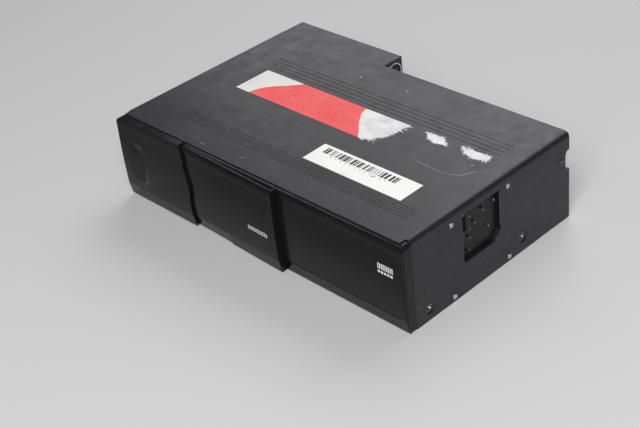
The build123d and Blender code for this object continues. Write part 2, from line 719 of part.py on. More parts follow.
# ---- Lift
pivot_x = lift_right - 2.8
clamp_z = 23.0
with BuildPart() as lift_frame:
    plate_z = (lift_plate_z, plate_top)
    block((lift_left, lift_right), (lift_front, lift_rear), plate_z)
    block((magazine_right + 0.4, lift_left), (lift_rear - 3.0, lift_rear), plate_z)
    bay_half = chassis_half + chassis_gap
    block((play_x - chassis_reach - chassis_gap, lift_right - 8.0), (disc_y - bay_half, disc_y + bay_half),
          plate_z, Mode.SUBTRACT)
    for x, y in post_places:
        upright(x, y, post_radius + post_clearance, plate_z, Mode.SUBTRACT)
    for x in pin_x:
        inward(x, pin_z, pin_radius, (cam_front - 0.2, lift_front))
        inward(x, pin_z, pin_radius, (lift_rear, cam_rear + cam_thickness + 0.2))
    for x in (magazine_right + 0.4, lift_right - 2.0):
        block((x, x + 1.0), (lift_rear - 3.0, lift_rear), (plate_top, plate_top + 4.0))
    for y in (disc_y - 9.6, disc_y + 7.6):
        block((lift_right - 5.0, lift_right - 0.6), (y, y + 2.0), (plate_top, 25.0))
    inward(pivot_x, clamp_z, 1.0, (disc_y - 9.6, disc_y + 9.6))
save(lift_frame, "lift_frame")

for name, cam_y, rack in (("cam_slider_front", cam_front, True), ("cam_slider_rear", cam_rear, False)):
    with BuildPart() as cam:
        cam_z = (base_top + cam_gap, base_top + cam_gap + cam_height)
        block((cam_left, cam_left + cam_length), (cam_y, cam_y + cam_thickness), cam_z)
        with BuildSketch(Plane.XZ.offset(-(y_face + cam_y))) as slots:
            for x in pin_x:
                with Locations((x_left + x - lift_travel / 2, pin_z + lift_travel / 2)):
                    SlotCenterToCenter(lift_travel * math.sqrt(2),
                                       2 * (pin_radius + slot_clearance), rotation=-45)
        extrude(slots.sketch, amount=-cam_thickness, mode=Mode.SUBTRACT)
        if rack:
            rack_z = (base_top + cam_gap, base_top + cam_gap + 3.0)
            block((cam_left - rack_length, cam_left), (cam_y, cam_y + cam_thickness), rack_z)
            tooth = math.pi * gear_module
            first = math.floor((gear_x - cam_left + rack_length) / tooth)
            with BuildSketch(Plane.XY.offset(rack_z[0])) as teeth:
                for index in range(-first + 1, 3):
                    center = gear_x + (index + 0.5) * tooth
                    with Locations((x_left + center, y_face + cam_y + cam_thickness + 0.35)):
                        Trapezoid(gear_module * 2.2, 0.9, 66)
            extrude(teeth.sketch, amount=rack_z[1] - rack_z[0])
    save(cam, name)

with BuildPart() as lift_gear:
    gear(gear_x, gear_y, pinion_teeth, (base_top + cam_gap, base_top + cam_gap + 3.0))
    gear(gear_x, gear_y, wheel_teeth, (base_top + cam_gap + 3.0, base_top + cam_gap + 5.0))
    upright(gear_x, gear_y, 1.6, (base_top + 0.05, magazine_bottom - 1.0))
save(lift_gear, "lift_gear")

worm_radius = 2.2
worm_y = gear_y + gear_module * (wheel_teeth / 2 + 0.85) + worm_radius + 0.4
worm_z = base_top + 3.7 + 0.25
with BuildPart() as lift_worm:
    across(worm_y, worm_z, 1.3, (gear_x - 9.0, gear_x + 9.0))
    for index in range(7):
        thread = gear_x - 7.5 + index * 2.4
        across(worm_y, worm_z, worm_radius, (thread, thread + 0.9))
save(lift_worm, "lift_worm")

with BuildPart() as lift_motor:
    across(worm_y, worm_z, 3.7, (gear_x - 34.0, gear_x - 10.0))
    across(worm_y, worm_z, 1.6, (gear_x - 10.0, gear_x - 9.2))
    block((gear_x + 9.2, gear_x + 10.6), (worm_y - 3.0, worm_y + 3.0), (base_top, worm_z + 3.0))
save(lift_motor, "lift_motor")

# ---- Player
with BuildPart() as traverse_chassis:
    chassis_x = (play_x - chassis_reach, lift_right - 8.0 - chassis_gap)
    block(chassis_x, (disc_y - chassis_half, disc_y + chassis_half), (lift_plate_z, plate_top))
    block((play_x + 18.0, lift_right - 10.0), (disc_y - 15.0, disc_y + 15.0),
          (lift_plate_z, plate_top), Mode.SUBTRACT)
    upright(play_x, disc_y, 3.0, (lift_plate_z, plate_top), Mode.SUBTRACT)
    for y in (disc_y - 11.0, disc_y + 11.0):
        for x in (play_x + 18.0 - 2.0, lift_right - 10.0):
            block((x, x + 2.0), (y - 2.0, y + 2.0), (6.2, lift_plate_z))
            across(y, 7.8, rod_radius, (x, x + 2.0), Mode.SUBTRACT)
    for y in (disc_y - 30.0, disc_y + 30.0):
        for x in (chassis_x[0] + 2.0, chassis_x[1] - 8.0):
            block((x, x + 6.0), (y - 3, y + 3), (plate_top, plate_top + 1.2))
save(traverse_chassis, "traverse_chassis")

with BuildPart() as spindle_motor:
    upright(play_x, disc_y, motor_radius, (base_top + 0.7, lift_plate_z))
    upright(play_x, disc_y, 1.2, (lift_plate_z, table_top - 0.8))
save(spindle_motor, "spindle_motor")

with BuildPart() as turntable:
    upright(play_x, disc_y, turntable_radius, (table_top - 1.8, table_top))
    upright(play_x, disc_y, hub_radius, (table_top, hub_top))
    chamfer(turntable.edges().group_by(Axis.Z)[-1], 0.6)
    upright(play_x, disc_y, 1.2 + running, (table_top - 1.8, table_top - 0.6), Mode.SUBTRACT)
save(turntable, "turntable")

pickup_x = play_x + first_track
with BuildPart() as pickup:
    block((pickup_x - 4.5, pickup_x + 4.5), (disc_y - 13.6, disc_y + 13.6), (5.6, 10.4))
    for y in (disc_y - 11.0, disc_y + 11.0):
        across(y, 7.8, rod_radius + running, (pickup_x - 4.5, pickup_x + 4.5), Mode.SUBTRACT)
    block((pickup_x - 3.6, pickup_x + 3.6), (disc_y - 5.0, disc_y + 5.0), (10.4, 11.2))
    block((pickup_x - 3.0, pickup_x + 3.0), (disc_y - 16.4, disc_y - 13.6), (6.4, 9.2))
save(pickup, "pickup")

with BuildPart() as pickup_lens:
    upright(pickup_x, disc_y, 2.0, (11.2, 11.6))
    upright(pickup_x, disc_y, 1.4, (11.6, 11.9))
save(pickup_lens, "pickup_lens")

with BuildPart() as guide_rods:
    for y in (disc_y - 11.0, disc_y + 11.0):
        across(y, 7.8, rod_radius, (play_x + 16.0, lift_right - 8.0))
save(guide_rods, "guide_rods")

screw_station = disc_y - 18.4
with BuildPart() as lead_screw:
    screw_x = (play_x + 16.0, lift_right - 8.6)
    across(screw_station, 7.8, 1.1, screw_x)
    for index in range(int((screw_x[1] - screw_x[0] - 3.0) / screw_pitch)):
        thread_x = screw_x[0] + 2.0 + screw_pitch * index
        across(screw_station, 7.8, 1.6, (thread_x, thread_x + 1.0))
save(lead_screw, "lead_screw")

with BuildPart() as sled_motor:
    block((play_x - 6.0, play_x + 15.6), (screw_station - 5.0, screw_station + 3.0),
          (base_top + 0.8, lift_plate_z))
save(sled_motor, "sled_motor")

with BuildPart() as clamp_arm:
    arm_y = (disc_y - 7.2, disc_y + 7.2)
    block((play_x - 9.0, pivot_x), arm_y, (clamp_z - 0.6, clamp_z + 0.6))
    inward(pivot_x, clamp_z, 2.1, arm_y)
    inward(pivot_x, clamp_z, 1.0 + running, arm_y, Mode.SUBTRACT)
    upright(play_x, disc_y, 3.4, (clamp_z - 0.6, clamp_z + 0.6), Mode.SUBTRACT)
save(clamp_arm, "clamp_arm")

with BuildPart() as clamp_puck:
    puck_z = first_disc_z + disc_thickness / 2 + 1.0
    upright(play_x, disc_y, 13.0, (puck_z, puck_z + 2.0))
    upright(play_x, disc_y, 3.0, (puck_z + 2.0, clamp_z + 0.9))
    upright(play_x, disc_y, 5.0, (clamp_z + 0.9, clamp_z + 1.7))
    upright(play_x, disc_y, hub_radius + 0.3, (puck_z, puck_z + 0.9), Mode.SUBTRACT)
save(clamp_puck, "clamp_puck")

puller_y = lift_rear - 1.5
puller_z = plate_top + 2.2
with BuildPart() as puller_rod:
    across(puller_y, puller_z, rod_radius, (magazine_right + 1.4, lift_right - 2.0))
save(puller_rod, "puller_rod")

with BuildPart() as tray_puller:
    puller_x = (magazine_right + 1.6, magazine_right + 5.6)
    block(puller_x, (tray_rear + 0.4, lift_rear - 0.2), (plate_top + 0.2, tray_bottom + 1.8))
    across(puller_y, puller_z, rod_radius + running, puller_x, Mode.SUBTRACT)
save(tray_puller, "tray_puller")

# ---- Electronics in the rear box
board_z = 5.0
flex_x = (10.0, 20.0)
with BuildPart() as main_board:
    block((4.0, rear_box_width - 3.0), (case_depth - 2.0, full_depth - sheet - 1.0),
          (board_z, board_z + 1.6))
    for x in (8.0, rear_box_width - 8.0):
        upright(x, case_depth + 7.0, 2.0, (sheet, board_z))
save(main_board, "main_board")

with BuildPart() as board_components:
    top = board_z + 1.6
    free_left = flex_x[1] + 4.0
    spread = (rear_box_width - 13.0 - free_left) / 64.5
    for offset, width, depth, height in ((0.0, 14.0, 10.0, 2.0), (22.0, 9.0, 9.0, 1.6), (38.0, 6.0, 6.0, 9.0)):
        x = free_left + offset * spread
        block((x, x + width), (case_depth + 2.0, case_depth + 2.0 + depth), (top, top + height))
    for offset in (50.0, 58.0):
        upright(free_left + offset * spread, case_depth + 7.0, 3.0, (top, top + 9.0))
    block((rear_box_width - 13.0, rear_box_width - 8.0), (socket_y - 6.0, socket_y + 6.0),
          (top, socket_z - socket_radius - 1.0))
    block((rear_box_width - 13.0, rear_box_width - 8.0), (socket_y - 7.5, socket_y + 6.0),
          (socket_z - socket_radius - 1.0, socket_z + socket_radius))
save(board_components, "board_components")

with BuildPart() as flex_cable:
    flex_top = board_z + 1.6
    block(flex_x, (frame_rear + 0.3, frame_rear + 0.6), (flex_top + 0.2, 24.0))
    block(flex_x, (frame_rear + 0.3, case_depth + 3.0), (flex_top, flex_top + 0.3))
save(flex_cable, "flex_cable")
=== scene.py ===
"""Looks of the car disc changer: materials, screws, labels and printed marks over the CAD frame."""

import json
import math
import random

import bmesh
import bpy
from mathutils import Matrix, Vector
from mathutils.bvhtree import BVHTree


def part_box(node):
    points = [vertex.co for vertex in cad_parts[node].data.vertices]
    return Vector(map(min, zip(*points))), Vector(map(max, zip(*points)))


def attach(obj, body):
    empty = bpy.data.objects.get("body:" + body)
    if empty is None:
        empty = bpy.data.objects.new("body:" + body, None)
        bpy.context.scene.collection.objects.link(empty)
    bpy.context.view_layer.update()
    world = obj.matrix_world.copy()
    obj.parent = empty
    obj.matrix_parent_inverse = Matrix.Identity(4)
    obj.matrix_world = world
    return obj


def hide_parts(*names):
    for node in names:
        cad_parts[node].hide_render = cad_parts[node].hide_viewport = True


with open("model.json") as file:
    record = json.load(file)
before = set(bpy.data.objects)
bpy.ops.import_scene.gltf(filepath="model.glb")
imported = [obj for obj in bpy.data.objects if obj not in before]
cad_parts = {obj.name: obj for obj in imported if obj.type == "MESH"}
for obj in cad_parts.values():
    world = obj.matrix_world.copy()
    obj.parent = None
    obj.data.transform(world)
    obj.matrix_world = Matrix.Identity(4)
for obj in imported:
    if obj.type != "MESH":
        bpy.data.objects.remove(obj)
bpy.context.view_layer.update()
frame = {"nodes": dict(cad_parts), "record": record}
nodes = frame["nodes"]


# ---------------------------------------------------------------- places, in mm
# x runs from the cover's left end, y from the bezel's face plane and z from the bottom.
def millimetres(metres, shift=0.0):
    return round(metres * 1000 + shift, 3)


COVER_SET_BACK = 0.5
cover_low, cover_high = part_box("top_cover")
WIDTH = millimetres(cover_high.x - cover_low.x)
TOP = millimetres(cover_high.z)
ORIGIN_X = WIDTH / 2
ORIGIN_Y = -millimetres(cover_low.y, -COVER_SET_BACK)


def at(x, y, z):
    return Vector(((x - ORIGIN_X) / 1000, (y - ORIGIN_Y) / 1000, z / 1000))


def low_x(node):
    return millimetres(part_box(node)[0].x, ORIGIN_X)


def high_x(node):
    return millimetres(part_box(node)[1].x, ORIGIN_X)


UP = Vector((0, 0, 1))
FORWARD = Vector((0, -1, 0))
OUT_RIGHT = Vector((1, 0, 0))
OUT_LEFT = Vector((-1, 0, 0))
SIDES = ((WIDTH, OUT_RIGHT), (0.0, OUT_LEFT))

SELECTOR_SHEET = 0.6
SELECTOR_PLATES = ((low_x("selector_plate_right") + SELECTOR_SHEET, OUT_RIGHT),
                   (high_x("selector_plate_left") - SELECTOR_SHEET, OUT_LEFT))
PIVOT_Y = 77.7
PIVOT_Z = 27.0
DETENT_RADIUS = 24.6
FIRST_DETENT = 93.0

SIDE_SCREWS = [(y, z) for y in (38.6, 89.0) for z in (3.4, 53.7)]
REAR_SCREWS = ((118.0, 8.0), (236.0, 8.0), (177.0, 54.0))
REAR_FACE = millimetres(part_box("rear_panel")[1].y, ORIGIN_Y)
NOTCH_SCREW = (141.2, 43.6)
MOUNT_HOLES = ((17.3, 8.3), (102.4, 10.2))
WINDOW_REAR = 82.0
DISC_CENTRE = (70.4, 76.0)
DISC_BAND = 23.0


# ---------------------------------------------------------------- materials
def new_material(name):
    mat = bpy.data.materials.new(name)
    mat.use_nodes = True
    tree = mat.node_tree
    tree.nodes.clear()
    out = tree.nodes.new("ShaderNodeOutputMaterial")
    shader = tree.nodes.new("ShaderNodeBsdfPrincipled")
    tree.links.new(shader.outputs[0], out.inputs[0])
    return mat, tree, shader


def coordinates(tree, stretch=(1, 1, 1)):
    source = tree.nodes.new("ShaderNodeTexCoord")
    mapping = tree.nodes.new("ShaderNodeMapping")
    mapping.inputs["Scale"].default_value = stretch
    tree.links.new(source.outputs["Object"], mapping.inputs["Vector"])
    return mapping.outputs["Vector"]


def noise(tree, vector, scale, detail=3.0):
    node = tree.nodes.new("ShaderNodeTexNoise")
    node.inputs["Scale"].default_value = scale
    node.inputs["Detail"].default_value = detail
    node.inputs["Roughness"].default_value = 0.55
    tree.links.new(vector, node.inputs["Vector"])
    return node.outputs["Fac"]


def remap(tree, value, low, high, to_low, to_high):
    node = tree.nodes.new("ShaderNodeMapRange")
    node.inputs["From Min"].default_value = low
    node.inputs["From Max"].default_value = high
    node.inputs["To Min"].default_value = to_low
    node.inputs["To Max"].default_value = to_high
    tree.links.new(value, node.inputs["Value"])
    return node.outputs["Result"]


def math_node(tree, kind, a, b):
    node = tree.nodes.new("ShaderNodeMath")
    node.operation = kind
    for socket, value in zip(node.inputs, (a, b)):
        if isinstance(value, (int, float)):
            socket.default_value = value
        else:
            tree.links.new(value, socket)
    return node.outputs[0]


def vector_node(tree, kind, vector, other=None):
    node = tree.nodes.new("ShaderNodeVectorMath")
    node.operation = kind
    tree.links.new(vector, node.inputs[0])
    if other is not None:
        node.inputs[1].default_value = other
    return node.outputs["Value" if kind == "LENGTH" else "Vector"]


def mix(tree, factor, a, b):
    node = tree.nodes.new("ShaderNodeMix")
    node.data_type = "RGBA"
    tree.links.new(factor, node.inputs["Factor"])
    for socket, value in ((node.inputs[6], a), (node.inputs[7], b)):
        if isinstance(value, tuple):
            socket.default_value = (*value, 1)
        else:
            tree.links.new(value, socket)
    return node.outputs[2]


def bump(tree, shader, height, strength, microns):
    node = tree.nodes.new("ShaderNodeBump")
    node.inputs["Strength"].default_value = strength
    node.inputs["Distance"].default_value = microns / 1e6
    tree.links.new(height, node.inputs["Height"])
    tree.links.new(node.outputs["Normal"], shader.inputs["Normal"])


def surface(name, dark, light, rough, metallic=0.0, mottle=60.0, grain=2500.0, grain_microns=20,
            grain_strength=0.25, stretch=(1, 1, 1), coat=0.0, coat_rough=0.05, specks=None, specular=0.5):
    """A principled material with colour mottling, uneven roughness, fine grain and stray specks."""
    mat, tree, shader = new_material(name)
    vector = coordinates(tree, stretch)
    broad = noise(tree, vector, mottle, 4.0)
    color = mix(tree, remap(tree, broad, 0.35, 0.65, 0.0, 1.0), dark, light)
    if specks:
        tint, scale, cut = specks
        spots = noise(tree, vector, scale, 2.0)
        color = mix(tree, remap(tree, spots, cut, cut + 0.02, 0.0, 1.0), color, tint)
    tree.links.new(color, shader.inputs["Base Color"])
    fine = noise(tree, vector, mottle * 4.3)
    tree.links.new(remap(tree, fine, 0.3, 0.7, *rough), shader.inputs["Roughness"])
    bump(tree, shader, noise(tree, vector, grain, 2.0), grain_strength, grain_microns)
    shader.inputs["Metallic"].default_value = metallic
    shader.inputs["IOR"].default_value = 1.5
    shader.inputs["Specular IOR Level"].default_value = specular
    shader.inputs["Coat Weight"].default_value = coat
    shader.inputs["Coat Roughness"].default_value = coat_rough
    return mat


def disc_surface():
    """Silver disc with fine concentric tracks, a pale outer field and a faint rainbow tint."""
    mat, tree, shader = new_material("metallised_disc")
    vector = coordinates(tree)
    from_centre = vector_node(tree, "SUBTRACT", vector, at(*DISC_CENTRE, 0))
    radius = vector_node(tree, "LENGTH", vector_node(tree, "MULTIPLY", from_centre, (1, 1, 0)))
    tracks = math_node(tree, "SINE", math_node(tree, "MULTIPLY", radius, 9000.0), 0.0)
    band = remap(tree, radius, (DISC_BAND - 0.5) / 1000, (DISC_BAND + 0.2) / 1000, 0.0, 1.0)
    color = mix(tree, band, (0.32, 0.34, 0.36), (0.62, 0.63, 0.67))
    tint = mix(tree, noise(tree, vector, 30.0, 2.0), (0.6, 0.66, 0.7), (0.7, 0.63, 0.66))
    color = mix(tree, remap(tree, tracks, -1, 1, 0.0, 0.35), color, tint)
    tree.links.new(color, shader.inputs["Base Color"])
    tree.links.new(remap(tree, noise(tree, vector, 200.0), 0.3, 0.7, 0.14, 0.24), shader.inputs["Roughness"])
    bump(tree, shader, tracks, 0.05, 10)
    shader.inputs["Metallic"].default_value = 0.9
    return mat


MATS = {
    "cover_paint": surface("baked_charcoal_paint", (0.011, 0.0108, 0.0145), (0.017, 0.0165, 0.0215),
                           (0.30, 0.42), mottle=28, grain=2600, grain_microns=30, grain_strength=0.35,
                           specks=((0.16, 0.16, 0.16), 420, 0.73), specular=0.42),
    "gloss_black": surface("polished_black_plastic", (0.006, 0.006, 0.0068), (0.009, 0.009, 0.010),
                           (0.12, 0.22), mottle=22, grain=900, grain_microns=10, grain_strength=0.12,
                           specks=((0.10, 0.10, 0.10), 380, 0.76), specular=0.27),
    "screw_steel": surface("bright_plated_steel", (0.55, 0.54, 0.51), (0.78, 0.77, 0.74), (0.22, 0.38),
                           1.0, mottle=180, grain=5200, grain_microns=10, stretch=(1, 6, 1)),
    "zinc_sheet": surface("zinc_plated_sheet", (0.42, 0.42, 0.40), (0.58, 0.57, 0.54), (0.30, 0.48),
                          1.0, mottle=70, grain=3000, grain_microns=10, stretch=(1, 9, 1)),
    "black_plate": surface("painted_selector_plate", (0.006, 0.006, 0.006), (0.010, 0.010, 0.010),
                           (0.34, 0.5), mottle=90, grain=3000, specks=((0.2, 0.2, 0.2), 700, 0.76),
                           specular=0.3),
    "dark_steel": surface("blackened_steel", (0.07, 0.07, 0.075), (0.15, 0.15, 0.15), (0.22, 0.4),
                          1.0, mottle=260, grain=4200, grain_microns=10),
    "dark_plastic": surface("moulded_black_plastic", (0.020, 0.020, 0.021), (0.030, 0.030, 0.032),
                            (0.42, 0.6), mottle=60, grain=3600, grain_microns=40, grain_strength=0.5),
    "tray_plastic": surface("moulded_tray_plastic", (0.045, 0.045, 0.05), (0.065, 0.065, 0.07),
                            (0.4, 0.55), mottle=50, grain=3600, grain_microns=30, grain_strength=0.4),
    "gear_plastic": surface("natural_acetal", (0.66, 0.63, 0.55), (0.76, 0.73, 0.66), (0.34, 0.5),
                            mottle=90, grain=2600),
    "rubber": surface("soft_black_rubber", (0.018, 0.018, 0.018), (0.03, 0.03, 0.03), (0.7, 0.85),
                      mottle=80, grain=2800, grain_microns=60, grain_strength=0.6),
    "board": surface("green_laminate", (0.012, 0.10, 0.045), (0.02, 0.16, 0.07), (0.3, 0.42),
                     mottle=160, grain=1600, specks=((0.4, 0.4, 0.33), 800, 0.68)),
    "parts": surface("moulded_packages", (0.018, 0.018, 0.02), (0.03, 0.03, 0.03), (0.4, 0.6),
                     mottle=90, grain=3000, specks=((0.25, 0.25, 0.25), 1200, 0.72)),
    "lens": surface("coated_lens", (0.20, 0.24, 0.52), (0.28, 0.33, 0.62), (0.03, 0.08),
                    mottle=200, grain=900, grain_strength=0.02, coat=0.8, coat_rough=0.02),
    "brass": surface("turned_brass", (0.62, 0.43, 0.17), (0.78, 0.58, 0.27), (0.22, 0.36),
                     1.0, mottle=140, grain=4200, stretch=(8, 1, 1)),
    "flex": surface("flat_cable_film", (0.50, 0.42, 0.25), (0.60, 0.52, 0.34), (0.25, 0.35),
                    mottle=120, grain=1400, stretch=(6, 1, 1)),
    "disc": disc_surface(),
}
white_paper = surface("white_label_paper", (0.87, 0.87, 0.84), (0.93, 0.93, 0.90), (0.5, 0.65),
                      mottle=70, grain=1500, grain_microns=30)
backing_paper = surface("smooth_backing_paper", (0.74, 0.74, 0.72), (0.82, 0.82, 0.79), (0.6, 0.75),
                        mottle=26, grain=1100, grain_microns=40)
torn_paper = surface("torn_paper", (0.66, 0.66, 0.67), (0.86, 0.86, 0.86), (0.7, 0.85),
                     mottle=110, grain=900, grain_microns=80, grain_strength=0.6)
red_film = surface("red_label_film", (0.86, 0.058, 0.056), (0.93, 0.088, 0.084), (0.34, 0.5),
                   mottle=24, grain=1300)
ink = surface("printed_ink", (0.012, 0.012, 0.012), (0.025, 0.025, 0.025), (0.45, 0.6),
              mottle=200, grain=2000)
# Grey of faded print on the label; the same grey paints the highlight along the finger scoop.
faded_ink_and_highlight = surface("faded_ink_and_highlight", (0.30, 0.30, 0.29), (0.42, 0.42, 0.41), (0.5, 0.6),
                    mottle=200, grain=2000)
red_ink = surface("dark_red_print", (0.42, 0.03, 0.03), (0.50, 0.045, 0.045), (0.4, 0.5),
                  mottle=160, grain=2000)
white_print = surface("white_print", (0.78, 0.78, 0.78), (0.88, 0.88, 0.88), (0.4, 0.55),
                      mottle=300, grain=2000)
residue = surface("glue_residue", (0.26, 0.26, 0.27), (0.46, 0.46, 0.47), (0.6, 0.8),
                  mottle=300, grain=1500, grain_microns=80, grain_strength=0.8)
# Painted shade: a near-black used where an edge or a slot lies in shade.
painted_shade_black = surface("painted_shade_black", (0.0015, 0.0015, 0.0025), (0.003, 0.003, 0.0045), (0.5, 0.7),
                     mottle=60, grain=1500, specular=0.08)
# Painted light: the lighter grey of a lit sheet edge.
lit_edge_paint = surface("painted_light_sheet_edge", (0.07, 0.07, 0.075), (0.12, 0.12, 0.125), (0.4, 0.6),
                    mottle=240, grain=2000)

# A few nodes look unlike the rest of their slot.
own_look = {"selector_plate_right": "black_plate", "selector_plate_left": "black_plate",
            "mount_nuts": "dark_steel"}
slot_of = {entry["node"]: entry["material_slot"] for entry in frame["record"]["subparts"]}
for name, node in nodes.items():
    node.data.materials.clear()
    node.data.materials.append(MATS[own_look.get(name, slot_of[name])])


# ---------------------------------------------------------------- mesh helpers, sizes in mm
# A screw's cross recess and its skirt, as shares of the head's radius and height.
ARM_HALF_WIDTH = 0.15
ARM_REACH = 0.62
RECESS_DEPTH = 0.55
SKIRT = 0.45


def piece(name, bm, material, body, smooth=True):
    """Turn a bmesh into a piece that rides on a body and takes a slot's finish."""
    bmesh.ops.recalc_face_normals(bm, faces=bm.faces)
    mesh = bpy.data.meshes.new(name)
    bm.to_mesh(mesh)
    bm.free()
    for poly in mesh.polygons:
        poly.use_smooth = smooth
    mesh.materials.append(material)
    obj = bpy.data.objects.new(name, mesh)
    bpy.context.scene.collection.objects.link(obj)
    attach(obj, body)
    return obj


def slab(bm, outline, thickness, outward):
    """Add a thin closed sheet whose back face is the outline."""
    back = [bm.verts.new(p) for p in outline]
    front = [bm.verts.new(p + outward * (thickness / 1000)) for p in outline]
    bm.faces.new(back)
    bm.faces.new(front)
    count = len(outline)
    for i in range(count):
        n = (i + 1) % count
        bm.faces.new((back[i], back[n], front[n], front[i]))


def screw_head(bm, center, outward, radius, height, cross=True):
    """Pan head built from rings, which sink inside a cross recess."""
    radius, height = radius / 1000, height / 1000
    side = outward.orthogonal().normalized()
    other = outward.cross(side)
    arm_width, arm_reach = ARM_HALF_WIDTH * radius, ARM_REACH * radius
    segments, rings = 64, 22
    rows = []
    for r in range(rings + 1):
        t = r / rings
        row = []
        for s in range(segments):
            angle = 2 * math.pi * s / segments
            u, v = radius * t * math.cos(angle), radius * t * math.sin(angle)
            rise = height * math.sqrt(max(0.0, 1 - (t * 0.93) ** 2.6))
            short, long = sorted((abs(u), abs(v)))
            if cross and short < arm_width and long < arm_reach:
                rise -= RECESS_DEPTH * height * (1 - 0.4 * long / arm_reach)
            row.append(bm.verts.new(center + side * u + other * v + outward * rise))
        rows.append(row)
    rows.append([bm.verts.new(v.co - outward * (height * SKIRT)) for v in rows[-1]])
    for inner, outer in zip(rows, rows[1:]):
        for s in range(segments):
            n = (s + 1) % segments
            bm.faces.new((inner[s], inner[n], outer[n], outer[s]))
    bmesh.ops.remove_doubles(bm, verts=rows[0], dist=1e-7)


def ridge(bm, center, axis, inner, outer, width):
    """Add a ring that narrows towards its inner edge."""
    side = axis.orthogonal().normalized()
    other = axis.cross(side)
    segments = 48
    loops = []
    for radius, shift in ((outer, -width / 2), (inner, 0.0), (outer, width / 2)):
        loop = []
        for k in range(segments):
            angle = 2 * math.pi * k / segments
            spoke = side * (radius / 1000 * math.cos(angle)) + other * (radius / 1000 * math.sin(angle))
            loop.append(bm.verts.new(center + axis * (shift / 1000) + spoke))
        loops.append(loop)
    for first, second in zip(loops, loops[1:] + loops[:1]):
        for k in range(segments):
            n = (k + 1) % segments
            bm.faces.new((first[k], first[n], second[n], second[k]))


def bar(x, y, width, height, lean=0.0):
    return [(x, y), (x + width, y), (x + width + lean, y + height), (x + lean, y + height)]


def on_top(name, outlines, material, thickness, lift=0.0):
    """Thin sheets lying on the cover; each outline is a list of (x, y)."""
    bm = bmesh.new()
    for outline in outlines:
        slab(bm, [at(x, y, TOP + lift) for x, y in outline], thickness, UP)
    return piece(name, bm, material, "housing", smooth=False)


def skin_of(node):
    """Search tree of a node's faces, for marks that lie on its front."""
    bm = bmesh.new()
    bm.from_mesh(nodes[node].data)
    tree = BVHTree.FromBMesh(bm)
    bm.free()
    return tree


def on_front(name, skin, shapes, material, body, lift=0.03):
    """Printed marks, and painted shade and highlight, on a front surface; each shape is a list of (x, z)."""
    bm = bmesh.new()
    for shape in shapes:
        corners = []
        for x, z in shape:
            hit = skin.ray_cast(at(x, -40, z), -FORWARD)[0]
            corners.append(bm.verts.new(hit + FORWARD * (lift / 1000)))
        bm.faces.new(corners)
    return piece(name, bm, material, body, smooth=False)


# ---------------------------------------------------------------- screws
SIDE_HEAD_RADIUS = 1.6
REAR_HEAD_RADIUS = 1.9
HEAD_RISE = 0.85
RIM_RADIUS = 2.1
RIM_RISE = 0.3
NOTCH_HEAD_RISE = 0.78

bm = bmesh.new()
for y, z in SIDE_SCREWS:
    for x, outward in SIDES:
        screw_head(bm, at(x, y, z), outward, SIDE_HEAD_RADIUS, HEAD_RISE)
side_screws = piece("side_screw_heads", bm, MATS["screw_steel"], "housing")
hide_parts("side_screws")

bm = bmesh.new()
for x, z in REAR_SCREWS:
    screw_head(bm, at(x, REAR_FACE, z), -FORWARD, REAR_HEAD_RADIUS, HEAD_RISE)
rear_screws = piece("rear_screw_heads", bm, MATS["screw_steel"], "housing")
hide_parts("rear_screws")

bm = bmesh.new()
screw_head(bm, at(WIDTH, *NOTCH_SCREW), OUT_RIGHT, RIM_RADIUS, NOTCH_HEAD_RISE)
for y, z in SIDE_SCREWS:
    for x, outward in SIDES:
        screw_head(bm, at(x, y, z), outward, RIM_RADIUS, RIM_RISE, cross=False)
piece("dark_screw_rims", bm, MATS["dark_steel"], "housing")

# ---------------------------------------------------------------- labels on the cover
PAPER = 0.08
THIN_PAPER = 0.05
FIBRES = 0.04
DUST = 0.03
PRINT = 0.01


def ragged(points, step, depth, seed):
    """Split a line of (x, y) points finely and push the new points to and fro."""
    rng = random.Random(seed)
    line = []
    for (ax, ay), (bx, by) in zip(points, points[1:]):
        span = math.hypot(bx - ax, by - ay)
        count = max(1, int(span / step))
        for i in range(count):
            t = i / count
            push = 0.0 if i == 0 else rng.uniform(-depth, depth)
            x = ax + (bx - ax) * t - (by - ay) / span * push
            y = ay + (by - ay) * t + (bx - ax) / span * push
            line.append((x, y))
    line.append(points[-1])
    return line


def fringe(line, seed, reach):
    """Thin fibres of torn paper that stand out along a torn line."""
    rng = random.Random(seed)
    fibres = []
    for (ax, ay), (bx, by) in zip(line, line[1:]):
        span = math.hypot(bx - ax, by - ay)
        ux, uy = (bx - ax) / span, (by - ay) / span
        for _ in range(max(1, int(span / 0.55))):
            t = rng.random()
            x, y = ax + (bx - ax) * t, ay + (by - ay) * t
            out = rng.uniform(0.4, reach) * rng.random()
            lean = rng.uniform(-0.6, 0.6)
            tip = (x + (uy + lean * ux) * out, y + (lean * uy - ux) * out)
            half = rng.uniform(0.2, 0.7)
            x, y = x - uy * 0.3, y + ux * 0.3
            fibres.append([(x - ux * half, y - uy * half), (x + ux * half, y + uy * half), tip])
    return fibres


# White label: a row of bars, with short marks in front of it.
BAR_Y = 43.1
BAR_HEIGHT = 6.1
MARK_Y = 41.2
on_top("white_label", [[(142.8, 31.5), (223.6, 31.5), (223.4, 51.5), (142.5, 51.5)]], white_paper, PAPER)
rng = random.Random(7)
bars, x = [], 148.2
while x < 209.5:
    width = rng.choice((0.6, 0.9, 1.5, 2.0))
    bars.append(bar(x, BAR_Y, width, BAR_HEIGHT))
    x += width + rng.choice((0.5, 0.9, 1.6))
on_top("label_bars", bars, ink, PRINT, PAPER)
marks = []
for k in range(12):
    x = 156.6 + 4.1 * k
    marks += [bar(x, MARK_Y, 0.7, 1.1), bar(x + 0.9, MARK_Y, 0.3, 0.4)]
marks += [bar(191.6, 40.4, 2.0, 1.2), bar(173.8, 32.8, 5.4, 0.3)]
on_top("label_marks", marks, faded_ink_and_highlight, PRINT, PAPER)

